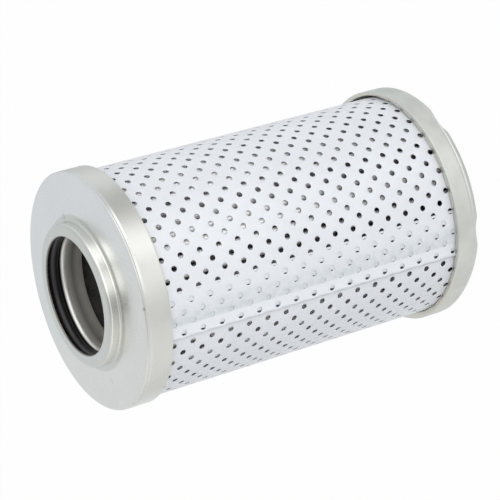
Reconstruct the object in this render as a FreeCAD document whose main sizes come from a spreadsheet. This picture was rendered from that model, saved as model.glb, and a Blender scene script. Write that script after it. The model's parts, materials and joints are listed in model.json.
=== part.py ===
# Hydraulic filter element: a pleated pack between a core tube and a perforated guard,
# bonded into two pressed end caps, with a sealing ring held in the neck of the open end.
# Millimetres. The element stands on its closed end: +Z runs up its axis to the open end,
# and the origin is the middle of the closed end's underside.
import FreeCAD, Part
import math
import os
import Sketcher

os.makedirs("parts", exist_ok=True)
doc = FreeCAD.newDocument("hydraulic_filter")

# Driving dimensions

DRIVING = {
    # whole element
    "element_length": 127.8,   # underside of the closed end to the flat face of the open end
    # end caps, each pressed from sheet
    "open_cap_sheet": 0.9,
    "open_cap_radius": 40.0,
    "open_cap_skirt": 9.2,
    "open_cap_corner": 1.5,
    "closed_cap_sheet": 1.4,
    "closed_cap_extra": 0.4,   # the closed cap is this much larger in radius
    "closed_cap_skirt": 9.2,
    "closed_cap_corner": 2.4,
    # crimp dents pressed into the corner of the closed end
    "dent_ball": 16.0,
    "dent_depth": 1.0,
    "dent_total": 6,
    # neck of the open end
    "bore_radius": 19.6,
    "neck_corner": 1.2,
    "neck_foot": 0.8,
    # sealing ring, and the collar that closes its groove
    "seal_section": 3.4,
    "seal_proud": 0.2,
    "seal_play": 0.1,          # round the ring, and under it
    "seal_room": 0.7,          # the groove is this much taller than the ring
    "collar_sheet": 0.9,
    "collar_length": 8.2,
    "collar_corner": 1.8,
    "flange_width": 4.5,
    # core tube
    "core_play": 0.1,
    "core_sheet": 0.8,
    "window_length": 8.0,
    "window_width": 4.0,
    "window_pitch": 17.0,
    "window_columns": 5,
    # perforated guard
    "guard_play": 1.1,         # between the guard and the open cap's skirt
    "guard_sheet": 0.5,
    "guard_flats": 68,
    "lap_angle": 24.0,
    "lap_play": 0.05,
    "edge_flare": 0.4,
    "hole_radius": 1.0,
    "hole_pitch": 13.84,
    "first_hole": 14.2,
    # pleated pack
    "pack_play": 0.3,
    "mesh_thickness": 0.3,
    "media_thickness": 0.5,
    "outer_fold_width": 3.0,
    "inner_fold_gap": 0.3,
    "fold_play": 0.17,         # least space between neighbouring folds at the core
    # bonding adhesive in the caps
    "adhesive_depth": 1.6,
    "adhesive_rise": 2.5,
    "adhesive_play": 0.1,
}

# Sizes and places that follow from the driving dimensions

FOLLOWING = {
    "open_cap_inside": "sizes.open_cap_radius - sizes.open_cap_sheet",
    "closed_cap_radius": "sizes.open_cap_radius + sizes.closed_cap_extra",
    "closed_cap_inside": "closed_cap_radius - sizes.closed_cap_sheet",
    "guard_radius": "open_cap_inside - sizes.guard_play",
    "open_inner_corner": "sizes.open_cap_corner - sizes.open_cap_sheet",
    "closed_inner_corner": "sizes.closed_cap_corner - sizes.closed_cap_sheet",
    "skirt_end": "sizes.element_length - sizes.open_cap_skirt",
    "face_under": "sizes.element_length - sizes.open_cap_sheet",
    "seal_minor": "sizes.seal_section / 2",
    "seal_major": "sizes.bore_radius - sizes.seal_proud + seal_minor",
    "seal_level": "face_under + sizes.seal_play + seal_minor",
    "neck_inside": "seal_major + seal_minor + sizes.seal_play",
    "neck_radius": "neck_inside + sizes.open_cap_sheet",
    "rim_under": "face_under + sizes.seal_section + sizes.seal_room",
    "rim_top": "rim_under + sizes.open_cap_sheet",
    "rim_inner_corner": "sizes.neck_corner - sizes.open_cap_sheet",
    "collar_outside": "sizes.bore_radius + sizes.collar_sheet",
    "collar_end": "face_under - sizes.collar_length",
    "collar_bend": "sizes.collar_corner - sizes.collar_sheet",
    "flange_radius": "collar_outside + sizes.flange_width",
    "flange_under": "face_under - sizes.collar_sheet",
    "core_inside": "collar_outside + collar_bend + sizes.core_play",
    "core_outside": "core_inside + sizes.core_sheet",
    "floor_level": "sizes.closed_cap_sheet + sizes.adhesive_depth",
    "ceiling_level": "face_under - sizes.adhesive_depth",
    "core_length": "flange_under - floor_level",
    "pack_length": "ceiling_level - floor_level",
    "bead_inside": "guard_radius + sizes.edge_flare + sizes.adhesive_play",
    "floor_bead_top": "floor_level + sizes.adhesive_rise",
    "ceiling_bead_end": "ceiling_level - sizes.adhesive_rise",
    "dent_ball_inside": "sizes.dent_ball + sizes.closed_cap_sheet",
    "dent_reach": "sizes.closed_cap_corner + sizes.dent_ball - sizes.dent_depth",
    "dent_out": "closed_cap_radius - sizes.closed_cap_corner + dent_reach * sqrt(0.5)",
    "dent_down": "sizes.closed_cap_corner - dent_reach * sqrt(0.5)",
}

# Angles about the axis, in degrees: the free edge of the guard's lap faces -Y
LAP_EDGE_ANGLE = -90.0
FIRST_DENT_ANGLE = 40.5
# Least sheet left between a hole and the end of the guard or a flat's edge
HOLE_MARGIN = 0.3
# Sides of a punched hole: each hole is a small hexagon, which keeps the faces few
HOLE_SIDES = 6


def fill_sheet(name, cells):
    sheet = doc.addObject("Spreadsheet::Sheet", name)
    for row, (alias, content) in enumerate(cells.items(), start=1):
        sheet.set(f"A{row}", alias)
        sheet.set(f"B{row}", content)
        sheet.setAlias(f"B{row}", alias)
    doc.recompute()
    return sheet


sizes = fill_sheet("sizes", {alias: str(number) for alias, number in DRIVING.items()})
places = fill_sheet("places", {alias: "=" + formula for alias, formula in FOLLOWING.items()})


def number(cell):
    """Value of a cell named as sheet.alias."""
    sheet_name, alias = cell.split(".")
    return float(getattr(doc.getObject(sheet_name), alias))


# Drawing helpers

def start_body(name):
    return doc.addObject("PartDesign::Body", name)


def origin_feature(body, role):
    return next(item for item in body.Origin.OriginFeatures if item.Role == role)


def start_sketch(body, name):
    """Sketch on the body's XZ plane: its x is the radius and its y is the height."""
    sketch = body.newObject("Sketcher::SketchObject", name)
    sketch.AttachmentSupport = [(origin_feature(body, "XZ_Plane"), "")]
    sketch.MapMode = "FlatFace"
    return sketch


def draw_section(sketch, corners):
    """Closed outline through corners, each a pair of cells, or None for the axis."""
    points = []
    for radius_cell, height_cell in corners:
        radius = number(radius_cell) if radius_cell else 0.0
        height = number(height_cell) if height_cell else 0.0
        points.append(FreeCAD.Vector(radius, height, 0))
    total = len(points)
    for side in range(total):
        line = Part.LineSegment(points[side], points[(side + 1) % total])
        sketch.addGeometry(line, False)
    for side in range(total):
        after = (side + 1) % total
        sketch.addConstraint(Sketcher.Constraint("Coincident", side, 2, after, 1))
    for side, (radius_cell, height_cell) in enumerate(corners):
        bind_distance(sketch, "DistanceX", side, radius_cell, -2)
        bind_distance(sketch, "DistanceY", side, height_cell, -1)


def bind_distance(sketch, kind, side, cell, axis):
    """Holds the start of a side at the distance in a cell, or on the axis."""
    if cell is None:
        sketch.addConstraint(Sketcher.Constraint("PointOnObject", side, 1, axis))
        return
    held = sketch.addConstraint(Sketcher.Constraint(kind, -1, 1, side, 1, number(cell)))
    sketch.setExpression(f"Constraints[{held}]", cell)


def revolve(body, sketch, name):
    turned = body.newObject("PartDesign::Revolution", name)
    turned.Profile = sketch
    turned.ReferenceAxis = (sketch, ["V_Axis"])
    turned.Angle = 360.0
    sketch.Visibility = False
    doc.recompute()
    return turned


def ring_edge(shape, radius, height):
    """Name of the circular edge of this radius at this height."""
    for index, edge in enumerate(shape.Edges, start=1):
        curve = edge.Curve
        if not isinstance(curve, Part.Circle):
            continue
        if abs(curve.Radius - radius) < 0.01 and abs(edge.BoundBox.ZMin - height) < 0.01:
            if edge.BoundBox.ZLength < 0.01:
                return f"Edge{index}"
    raise ValueError(f"no round edge of radius {radius} at height {height}")


def round_edge(body, base, name, radius_cell, height_cell, size_cell):
    """Fillet on one round edge of the body's last feature."""
    fillet = body.newObject("PartDesign::Fillet", name)
    edge = ring_edge(base.Shape, number(radius_cell), number(height_cell))
    fillet.Base = (base, [edge])
    fillet.setExpression("Radius", size_cell)
    doc.recompute()
    return fillet


# Open end cap: one pressing with a skirt, a flat face and a neck folded in over the seal

def make_open_end_cap():
    body = start_body("open_end_cap")
    sketch = start_sketch(body, "open_cap_section")
    draw_section(sketch, [
        ("places.open_cap_inside", "places.skirt_end"),
        ("sizes.open_cap_radius", "places.skirt_end"),
        ("sizes.open_cap_radius", "sizes.element_length"),
        ("places.neck_radius", "sizes.element_length"),
        ("places.neck_radius", "places.rim_top"),
        ("sizes.bore_radius", "places.rim_top"),
        ("sizes.bore_radius", "places.rim_under"),
        ("places.neck_inside", "places.rim_under"),
        ("places.neck_inside", "places.face_under"),
        ("places.open_cap_inside", "places.face_under"),
    ])
    cap = revolve(body, sketch, "open_cap_pressing")
    cap = round_edge(body, cap, "skirt_corner", "sizes.open_cap_radius",
                     "sizes.element_length", "sizes.open_cap_corner")
    cap = round_edge(body, cap, "skirt_inner_corner", "places.open_cap_inside",
                     "places.face_under", "places.open_inner_corner")
    cap = round_edge(body, cap, "neck_foot_round", "places.neck_radius",
                     "sizes.element_length", "sizes.neck_foot")
    cap = round_edge(body, cap, "neck_corner_round", "places.neck_radius",
                     "places.rim_top", "sizes.neck_corner")
    round_edge(body, cap, "neck_inner_round", "places.neck_inside",
               "places.rim_under", "places.rim_inner_corner")
    return body


# Closed end cap: a plain dish with six dents crimped into its corner

def make_dish(name, radius_cell, floor_cell, top_cell, corner_cell, ball_cell):
    """Filled dish with a ball pressed into its corner at each dent."""
    body = start_body(name)
    sketch = start_sketch(body, name + "_section")
    draw_section(sketch, [
        (None, floor_cell),
        (radius_cell, floor_cell),
        (radius_cell, top_cell),
        (None, top_cell),
    ])
    dish = revolve(body, sketch, name + "_blank")
    edge = ring_edge(dish.Shape, number(radius_cell), number(floor_cell) if floor_cell else 0.0)
    corner = body.newObject("PartDesign::Fillet", name + "_corner")
    corner.Base = (dish, [edge])
    corner.setExpression("Radius", corner_cell)
    doc.recompute()
    ball = body.newObject("PartDesign::SubtractiveSphere", name + "_ball")
    ball.setExpression("Radius", ball_cell)
    turn = math.radians(FIRST_DENT_ANGLE)
    ball.setExpression("Placement.Base.x", f"places.dent_out * {math.cos(turn)}")
    ball.setExpression("Placement.Base.y", f"places.dent_out * {math.sin(turn)}")
    ball.setExpression("Placement.Base.z", "places.dent_down")
    doc.recompute()
    dents = body.newObject("PartDesign::PolarPattern", name + "_dents")
    dents.Originals = [ball]
    dents.Axis = (origin_feature(body, "Z_Axis"), [""])
    dents.Angle = 360.0
    dents.setExpression("Occurrences", "sizes.dent_total")
    body.Tip = dents
    doc.recompute()
    return body


def make_closed_end():
    """The closed cap, and the adhesive that fills the bottom of the same cavity."""
    outside = make_dish("closed_cap_outside", "places.closed_cap_radius", None,
                        "sizes.closed_cap_skirt", "sizes.closed_cap_corner", "sizes.dent_ball")
    cavity = make_dish("closed_cap_cavity", "places.closed_cap_inside",
                       "sizes.closed_cap_sheet", "sizes.closed_cap_skirt",
                       "places.closed_inner_corner", "places.dent_ball_inside")
    cap = doc.addObject("Part::Cut", "closed_end_cap")
    cap.Base = outside
    cap.Tool = cavity
    pool = start_body("adhesive_pool")
    sketch = start_sketch(pool, "adhesive_pool_section")
    draw_section(sketch, [
        (None, None),
        ("places.closed_cap_radius", None),
        ("places.closed_cap_radius", "places.floor_bead_top"),
        ("places.bead_inside", "places.floor_bead_top"),
        ("places.bead_inside", "places.floor_level"),
        (None, "places.floor_level"),
    ])
    revolve(pool, sketch, "adhesive_pool_turn")
    adhesive = doc.addObject("Part::Common", "closed_end_adhesive")
    adhesive.Base = cavity
    adhesive.Tool = pool
    return [cap, adhesive]


# Adhesive of the open end: a disc under the face, stepped round the collar's flange

def make_open_end_adhesive():
    body = start_body("open_end_adhesive")
    sketch = start_sketch(body, "open_adhesive_section")
    draw_section(sketch, [
        ("places.core_outside", "places.ceiling_level"),
        ("places.bead_inside", "places.ceiling_level"),
        ("places.bead_inside", "places.ceiling_bead_end"),
        ("places.open_cap_inside", "places.ceiling_bead_end"),
        ("places.open_cap_inside", "places.face_under"),
        ("places.flange_radius", "places.face_under"),
        ("places.flange_radius", "places.flange_under"),
        ("places.core_outside", "places.flange_under"),
    ])
    disc = revolve(body, sketch, "open_adhesive_turn")
    round_edge(body, disc, "open_adhesive_corner", "places.open_cap_inside",
               "places.face_under", "places.open_inner_corner")
    return body


# Sealing ring in the neck, and the flanged collar that closes its groove from inside

def make_seal_ring():
    ring = doc.addObject("Part::Torus", "seal_ring")
    ring.setExpression("Radius1", "places.seal_major")
    ring.setExpression("Radius2", "places.seal_minor")
    ring.setExpression("Placement.Base.z", "places.seal_level")
    return ring


def make_seal_collar():
    body = start_body("seal_collar")
    sketch = start_sketch(body, "collar_section")
    draw_section(sketch, [
        ("sizes.bore_radius", "places.collar_end"),
        ("places.collar_outside", "places.collar_end"),
        ("places.collar_outside", "places.flange_under"),
        ("places.flange_radius", "places.flange_under"),
        ("places.flange_radius", "places.face_under"),
        ("sizes.bore_radius", "places.face_under"),
    ])
    collar = revolve(body, sketch, "collar_turn")
    collar = round_edge(body, collar, "collar_mouth", "sizes.bore_radius",
                        "places.face_under", "sizes.collar_corner")
    round_edge(body, collar, "collar_bend_round", "places.collar_outside",
               "places.flange_under", "places.collar_bend")
    return body


# Punched tubes

def punch(wall, outline, reach, spots):
    """Wall with the outline, given as (y, z) points, punched through it at each
    (angle, height) of spots."""
    near, far = reach
    corners = [FreeCAD.Vector(near, across, along) for across, along in outline]
    face = Part.Face(Part.makePolygon(corners + corners[:1]))
    cutter = face.extrude(FreeCAD.Vector(far - near, 0, 0))
    cutters = []
    for angle, height in spots:
        tool = cutter.copy()
        tool.translate(FreeCAD.Vector(0, 0, height))
        tool.rotate(FreeCAD.Vector(0, 0, 0), FreeCAD.Vector(0, 0, 1), angle)
        cutters.append(tool)
    return wall.cut(Part.makeCompound(cutters))


# Core tube: a plain tube with rows of oblong windows that run round it

def window_outline(length, width):
    """Oblong with its corners taken off, as (y, z) points."""
    half_length = length / 2
    half_width = width / 2
    flat = half_width / 2
    return [(half_length, -flat), (half_length, flat), (half_length - flat, half_width),
            (flat - half_length, half_width), (-half_length, flat), (-half_length, -flat),
            (flat - half_length, -half_width), (half_length - flat, -half_width)]


def make_core_tube():
    inside = number("places.core_inside")
    outside = number("places.core_outside")
    length = number("places.core_length")
    base = FreeCAD.Vector(0, 0, number("places.floor_level"))
    tube = Part.makeCylinder(outside, length, base).cut(Part.makeCylinder(inside, length, base))
    pitch = number("sizes.window_pitch")
    columns = int(number("sizes.window_columns"))
    rows = int((length - pitch / 2) / pitch)
    first = base.z + (length - (rows - 1) * pitch) / 2
    spots = []
    for row in range(rows):
        for column in range(columns):
            angle = (column + 0.5 * (row % 2)) * 360.0 / columns
            spots.append((angle, first + row * pitch))
    outline = window_outline(number("sizes.window_length"), number("sizes.window_width"))
    core = doc.addObject("Part::Feature", "core_tube")
    core.Shape = punch(tube, outline, (inside / 2, outside + inside / 2), spots)
    return core


# Perforated guard: one sheet rolled flat by flat, with its ends lapped.
# The outer lap ends in a free edge that flares out a little, and the inner lap steps
# in under it by the thickness of the sheet.

def guard_section():
    """Outer and inner points of the rolled sheet, from the free edge to the hidden one."""
    sheet = number("sizes.guard_sheet")
    flats = int(number("sizes.guard_flats"))
    step = 360.0 / flats
    corner_radius = number("places.guard_radius") / math.cos(math.radians(step / 2))
    flare = number("sizes.edge_flare")
    under = sheet + number("sizes.lap_play")
    lap_flats = number("sizes.lap_angle") / step
    turns = [float(index) for index in range(flats + int(lap_flats) + 1)]
    turns.append(flats + lap_flats)
    outer = []
    inner = []
    for index in turns:
        radius = corner_radius
        if index == 0:
            radius += flare
        if index == flats:
            radius += flare - under
        if index > flats:
            radius -= under
        angle = math.radians(LAP_EDGE_ANGLE + index * step)
        along = FreeCAD.Vector(math.cos(angle), math.sin(angle), 0)
        outer.append(along * radius)
        inner.append(along * (radius - sheet))
    return outer, inner


def guard_spots():
    """Angle and height of each hole: every second flat, staggered by half a pitch.

    Under the lap the rows are half a pitch on again, so the sheet there closes the outer holes.
    """
    flats = int(number("sizes.guard_flats"))
    step = 360.0 / flats
    pitch = number("sizes.hole_pitch")
    low = number("places.floor_level") + number("sizes.hole_radius") + HOLE_MARGIN
    lowest = max(low, number("sizes.closed_cap_skirt"))
    lap_flats = int(number("sizes.lap_angle") / step)
    spots = []
    for row, flat in enumerate(range(0, flats + lap_flats, 2)):
        angle = LAP_EDGE_ANGLE + (flat + 0.5) * step
        if flat >= flats and flats % 4 == 0:
            row += 1
        height = number("sizes.element_length") - number("sizes.first_hole") - pitch / 2 * (row % 2)
        while height > lowest:
            spots.append((angle, height))
            height -= pitch
    return spots


def make_perforated_guard():
    outer, inner = guard_section()
    section = Part.Face(Part.makePolygon(outer + inner[::-1] + outer[:1]))
    wall = section.extrude(FreeCAD.Vector(0, 0, number("places.pack_length")))
    wall.translate(FreeCAD.Vector(0, 0, number("places.floor_level")))
    radius = number("sizes.hole_radius")
    outline = []
    for side in range(HOLE_SIDES):
        turn = 2 * math.pi * side / HOLE_SIDES
        outline.append((radius * math.cos(turn), radius * math.sin(turn)))
    reach = (number("places.guard_radius") / 2, number("places.guard_radius") * 1.5)
    guard = doc.addObject("Part::Feature", "perforated_guard")
    guard.Shape = punch(wall, outline, reach, guard_spots())
    return guard


# Pleated pack: three webs folded together, from the outside in

def pleat_surface(depth):
    """Folded line at this depth below the pack's outer surface."""
    sheet = number("sizes.guard_sheet")
    under = 2 * sheet + number("sizes.lap_play")
    outer_radius = number("places.guard_radius") - under - number("sizes.pack_play")
    web = 2 * number("sizes.mesh_thickness") + number("sizes.media_thickness")
    inner_radius = number("places.core_outside") + number("sizes.pack_play") + web
    room = 2 * web + number("sizes.inner_fold_gap") + number("sizes.fold_play")
    pleats = int(2 * math.pi * (inner_radius - web) / room)
    crest_radius = outer_radius - depth
    crest_half = (number("sizes.outer_fold_width") / 2 - depth) / crest_radius
    valley_radius = inner_radius - depth
    valley_half = (number("sizes.inner_fold_gap") / 2 + depth) / valley_radius
    pitch = 2 * math.pi / pleats
    line = []
    for pleat in range(pleats):
        crest = pleat * pitch
        valley = crest + pitch / 2
        for radius, angle in ((crest_radius, crest - crest_half), (crest_radius, crest + crest_half),
                              (valley_radius, valley - valley_half),
                              (valley_radius, valley + valley_half)):
            line.append(FreeCAD.Vector(radius * math.cos(angle), radius * math.sin(angle), 0))
    return Part.Face(Part.makePolygon(line + line[:1]))


def make_web(name, depth, thickness):
    folded = pleat_surface(depth).cut(pleat_surface(depth + thickness))
    web = doc.addObject("Part::Feature", name)
    web.Shape = folded.Faces[0].extrude(FreeCAD.Vector(0, 0, number("places.pack_length")))
    web.Placement.Base = FreeCAD.Vector(0, 0, number("places.floor_level"))
    return web


def make_pleated_pack():
    mesh = number("sizes.mesh_thickness")
    media = number("sizes.media_thickness")
    return [make_web("upstream_mesh", 0.0, mesh),
            make_web("filter_media", mesh, media),
            make_web("downstream_mesh", mesh + media, mesh)]


# Assembly

pieces = [make_open_end_cap()]
pieces += make_closed_end()
pieces += [make_open_end_adhesive(), make_seal_ring(), make_seal_collar()]
pieces += [make_core_tube(), make_perforated_guard()]
pieces += make_pleated_pack()
doc.recompute()

for item in doc.Objects:
    if "Invalid" in item.State or "Error" in item.State:
        raise RuntimeError(f"{item.Name} did not compute: {item.State}")
for piece in pieces:
    if piece.Shape.isNull() or not piece.Shape.isValid() or not piece.Shape.Solids:
        raise RuntimeError(f"{piece.Name} has no valid solid")
for piece in pieces:
    piece.Label = piece.Name
    piece.Shape.exportStep(f"parts/{piece.Label}.step")
    print(piece.Label, len(piece.Shape.Solids), round(piece.Shape.Volume, 2))
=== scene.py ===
import json
import math
import bpy
import numpy as np
from mathutils import Matrix, Vector


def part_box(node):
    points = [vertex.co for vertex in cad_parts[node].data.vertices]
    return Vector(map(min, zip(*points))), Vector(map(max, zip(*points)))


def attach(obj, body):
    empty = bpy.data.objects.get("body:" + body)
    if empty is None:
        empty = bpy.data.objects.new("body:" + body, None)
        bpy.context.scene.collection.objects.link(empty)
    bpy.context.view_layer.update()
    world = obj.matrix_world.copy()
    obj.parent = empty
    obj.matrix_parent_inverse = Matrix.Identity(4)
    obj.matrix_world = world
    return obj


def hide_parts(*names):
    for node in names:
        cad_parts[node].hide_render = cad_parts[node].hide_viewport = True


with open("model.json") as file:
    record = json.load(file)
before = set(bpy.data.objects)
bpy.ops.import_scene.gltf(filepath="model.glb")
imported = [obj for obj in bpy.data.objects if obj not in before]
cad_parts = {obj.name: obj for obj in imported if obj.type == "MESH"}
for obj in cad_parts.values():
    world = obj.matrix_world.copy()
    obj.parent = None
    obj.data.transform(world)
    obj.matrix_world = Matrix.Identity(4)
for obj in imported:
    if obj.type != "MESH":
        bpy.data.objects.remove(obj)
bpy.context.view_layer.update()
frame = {"nodes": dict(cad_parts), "record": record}
print("frame loaded,", len(frame["nodes"]), "nodes")

# Hydraulic filter element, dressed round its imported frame. It stands on its closed end.
# Lengths are millimetres in this script, times mm where a mesh, a finish or the camera is made.

mm = 0.001


def outerRadius(node):
    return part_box(node)[1].x / mm


def lowLevel(node):
    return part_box(node)[0].z / mm


def highLevel(node):
    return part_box(node)[1].z / mm


def mountSize(name, key):
    mounts = frame["record"]["mounts"]
    return next(mount["dims"][key] for mount in mounts if mount["name"] == name)


boreRadius = mountSize("spigot_bore", "r_mm")
rimLevel = highLevel("open_end_cap")


# Mesh tools

def newPiece(name, points, faceSets, finish, nodes):
    # points is a table of x, y, z; each face set is a table of corner numbers, all of one size
    mesh = bpy.data.meshes.new(name)
    mesh.vertices.add(len(points))
    mesh.vertices.foreach_set("co", (np.asarray(points) * mm).astype(np.float32).ravel())
    corners = np.concatenate([faces.ravel() for faces in faceSets])
    sizes = np.concatenate([np.full(len(faces), faces.shape[1]) for faces in faceSets])
    mesh.loops.add(len(corners))
    mesh.loops.foreach_set("vertex_index", corners.astype(np.int32))
    mesh.polygons.add(len(sizes))
    starts = np.concatenate([[0], np.cumsum(sizes)[:-1]])
    mesh.polygons.foreach_set("loop_start", starts.astype(np.int32))
    mesh.polygons.foreach_set("use_smooth", np.ones(len(sizes), bool))
    mesh.update(calc_edges=True)
    mesh.validate()
    piece = bpy.data.objects.new(name, mesh)
    bpy.context.scene.collection.objects.link(piece)
    mesh.materials.append(finish)
    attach(piece, "root")
    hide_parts(*nodes)
    print(name, "has", int((sizes - 2).sum()), "triangles")
    return piece


def gridFaces(rows, columns, wrapRows=True, wrapColumns=True):
    # Squares between neighbouring rows and columns of a grid, its corners numbered row by row
    row = np.arange(rows if wrapRows else rows - 1)[:, None]
    column = np.arange(columns if wrapColumns else columns - 1)[None, :]
    nextRow = (row + 1) % rows
    nextColumn = (column + 1) % columns
    faces = np.stack(np.broadcast_arrays(row * columns + column, row * columns + nextColumn,
                                         nextRow * columns + nextColumn,
                                         nextRow * columns + column), axis=-1)
    return faces.reshape(-1, 4)


def roundedSection(corners, parts=6, hold=0.12):
    # Outline through corners given as (radius, height, rounding). A rounding r swaps its corner
    # for an arc that touches both sides: it starts r / tan(half the corner's angle) from the
    # corner, and a point a little further out on each side keeps the flats flat.
    corners = np.array(corners, float)
    outline = []
    for index, (radius, height, rounding) in enumerate(corners):
        here = np.array([radius, height])
        before = corners[index - 1, :2] - here
        after = corners[(index + 1) % len(corners), :2] - here
        before /= np.linalg.norm(before)
        after /= np.linalg.norm(after)
        half = math.acos(np.clip(before @ after, -1, 1)) / 2
        reach = rounding / math.tan(half)
        middle = before + after
        centre = here + middle / np.linalg.norm(middle) * rounding / math.sin(half)
        start = (here + before * reach - centre) / rounding
        end = (here + after * reach - centre) / rounding
        turn = math.pi - 2 * half
        share = np.linspace(0, 1, parts + 1)[:, None]
        arc = (start * np.sin((1 - share) * turn) + end * np.sin(share * turn)) / math.sin(turn)
        outline.append([here + before * (reach + hold)])
        outline.append(centre + arc * rounding)
        outline.append([here + after * (reach + hold)])
    return np.concatenate(outline)


def turnSection(outline, turns, shape=None):
    # Closed outline (radius, height) turned about Z, with each place moved by shape first:
    # point = (r cos a, r sin a, h)
    angle = np.linspace(0, 2 * np.pi, turns, endpoint=False)[None, :]
    radius = outline[:, :1] + 0 * angle
    height = outline[:, 1:] + 0 * angle
    if shape:
        radius, height = shape(radius, height, angle)
    points = np.stack([radius * np.cos(angle), radius * np.sin(angle), height], axis=-1)
    return points.reshape(-1, 3), gridFaces(len(outline), turns)


# Material tools

def startFinish(name):
    material = bpy.data.materials.new(name)
    material.use_nodes = True
    tree = material.node_tree
    return material, tree, tree.nodes["Principled BSDF"]


def place(tree, source="Object", stretch=(1, 1, 1)):
    # Surface coordinates in metres times stretch
    coordinates = tree.nodes.new("ShaderNodeTexCoord")
    mapping = tree.nodes.new("ShaderNodeMapping")
    mapping.inputs["Scale"].default_value = stretch
    tree.links.new(coordinates.outputs[source], mapping.inputs["Vector"])
    return mapping.outputs["Vector"]


def axes(tree, vector=None):
    # X, Y and Z of a vector, or of the place on the surface
    node = tree.nodes.new("ShaderNodeSeparateXYZ")
    tree.links.new(place(tree) if vector is None else vector, node.inputs["Vector"])
    return node.outputs


def noise(tree, vector, scale, detail=3.0, roughness=0.55):
    texture = tree.nodes.new("ShaderNodeTexNoise")
    texture.inputs["Scale"].default_value = scale
    texture.inputs["Detail"].default_value = detail
    texture.inputs["Roughness"].default_value = roughness
    tree.links.new(vector, texture.inputs["Vector"])
    return texture.outputs["Fac"]


def ramp(tree, factor, low, high, lowColour, highColour):
    # Colour that runs from lowColour to highColour as the factor goes from low to high
    node = tree.nodes.new("ShaderNodeValToRGB")
    for stop, where, colour in zip(node.color_ramp.elements, (low, high), (lowColour, highColour)):
        stop.position = where
        stop.color = (*colour, 1)
    tree.links.new(factor, node.inputs["Fac"])
    return node.outputs["Color"]


def rescale(tree, factor, low, high, newLow, newHigh):
    node = tree.nodes.new("ShaderNodeMapRange")
    for socket, value in zip(("From Min", "From Max", "To Min", "To Max"),
                             (low, high, newLow, newHigh)):
        node.inputs[socket].default_value = value
    tree.links.new(factor, node.inputs["Value"])
    return node.outputs["Result"]


def feed(tree, socket, value):
    # A number or a colour is set on the socket, and a node's output is linked to it
    if isinstance(value, (int, float)):
        socket.default_value = value
    elif isinstance(value, tuple):
        socket.default_value = (*value, 1)
    else:
        tree.links.new(value, socket)


def mixColours(tree, factor, first, second, blend="MIX"):
    node = tree.nodes.new("ShaderNodeMix")
    node.data_type = "RGBA"
    node.blend_type = blend
    feed(tree, node.inputs["Factor"], factor)
    feed(tree, node.inputs[6], first)
    feed(tree, node.inputs[7], second)
    return node.outputs[2]


def math2(tree, operation, first, second=0.0):
    node = tree.nodes.new("ShaderNodeMath")
    node.operation = operation
    feed(tree, node.inputs[0], first)
    feed(tree, node.inputs[1], second)
    return node.outputs[0]


def paint(tree, shader, colour, rough, metallic=0.0):
    feed(tree, shader.inputs["Base Color"], colour)
    feed(tree, shader.inputs["Roughness"], rough)
    shader.inputs["Metallic"].default_value = metallic


def bump(tree, shader, height, strength, distance):
    node = tree.nodes.new("ShaderNodeBump")
    node.inputs["Strength"].default_value = strength
    node.inputs["Distance"].default_value = distance * mm
    tree.links.new(height, node.inputs["Height"])
    tree.links.new(node.outputs["Normal"], shader.inputs["Normal"])


def tone(colour, factor):
    return tuple(min(1.0, part * factor) for part in colour)


def mottled(tree, cloud, colour, darker, lighter):
    # A colour that a noise varies from darker to lighter, both factors
    return ramp(tree, cloud, 0.3, 0.7, tone(colour, darker), tone(colour, lighter))


def varied(tree, cloud, value, less, more):
    # A value that a noise varies from value - less to value + more
    return rescale(tree, cloud, 0.3, 0.7, value - less, value + more)


# Finishes

capLook = {
    "rimColour": (0.53, 0.54, 0.52),         # flat of the neck's rim, painted darker: painted shade
    # upright wall of the neck, painted lighter: painted light
    "neckColour": (0.835, 0.835, 0.785),
    "neckReach": 26.0,     # the neck's painted light and the rim's painted shade end at this radius
    "neckLevel": 60.0,     # and start above this level
    "lipLevel": 8.0,       # a lip's painted tone starts above this one
    "mottle": 70.0,        # cells a metre of the cloudy plate
    "grain": 900.0,        # fine rolled grain
    "spots": 330.0,
    "spotColour": (0.34, 0.32, 0.28),
    "markColour": (0.17, 0.175, 0.155),
}

openEnd = {
    "faceColour": (0.628, 0.642, 0.650),     # flat of the cap, a little blue
    "warmColour": (0.634, 0.637, 0.618),     # the same flat with a painted warmer reflection
    "warmSide": -140.0,                      # degrees about the axis where that painted reflection lies
    "warmRun": 22.0,       # the painted change runs this far to both sides of the axis
    "skirtColour": (0.65, 0.655, 0.622),     # drawn skirt, a little warm
    "lipColour": (0.20, 0.185, 0.165),       # painted shade on the inner edge of the rim, out to the reach below
    "lipReach": 19.95,
    "roughness": 0.27,
    "cloudy": 1.0,
    # small marks: distance from the axis, degrees, level, reach and strength
    "marks": (
        (25.3, 35.5, 127.8, 1.6, 0.45),
        (27.0, 172.5, 127.8, 0.9, 0.55),
        (26.0, 168.0, 127.8, 0.6, 0.50),
        (29.2, -143.5, 127.8, 1.3, 0.16),
        (39.9, -69.0, 127.6, 0.8, 0.80),
        (39.7, -128.0, 127.6, 0.8, 0.80),
    ),
}

closedEnd = {
    "faceColour": (0.61, 0.63, 0.62),
    "skirtColour": (0.635, 0.648, 0.615),
    "lipColour": (0.66, 0.64, 0.58),         # inner edge of the skirt, next to the sleeve: a painted warm reflection with painted shade
    "lipReach": 39.95,
    "roughness": 0.5,
    "cloudy": 1.7,         # how much finer and stronger its clouds are
}


def insideRadius(tree, radius, soft=0.3):
    # 1 nearer to the axis than the radius, 0 beyond it
    where = axes(tree)
    square = math2(tree, "ADD", math2(tree, "POWER", where["X"], 2.0),
                   math2(tree, "POWER", where["Y"], 2.0))
    return rescale(tree, math2(tree, "SQRT", square), (radius - soft) * mm, (radius + soft) * mm, 1, 0)


def aboveLevel(tree, level):
    # 0 up to the level, 1 from a millimetre above it
    return rescale(tree, axes(tree)["Z"], level * mm, (level + 1) * mm, 0, 1)


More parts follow.
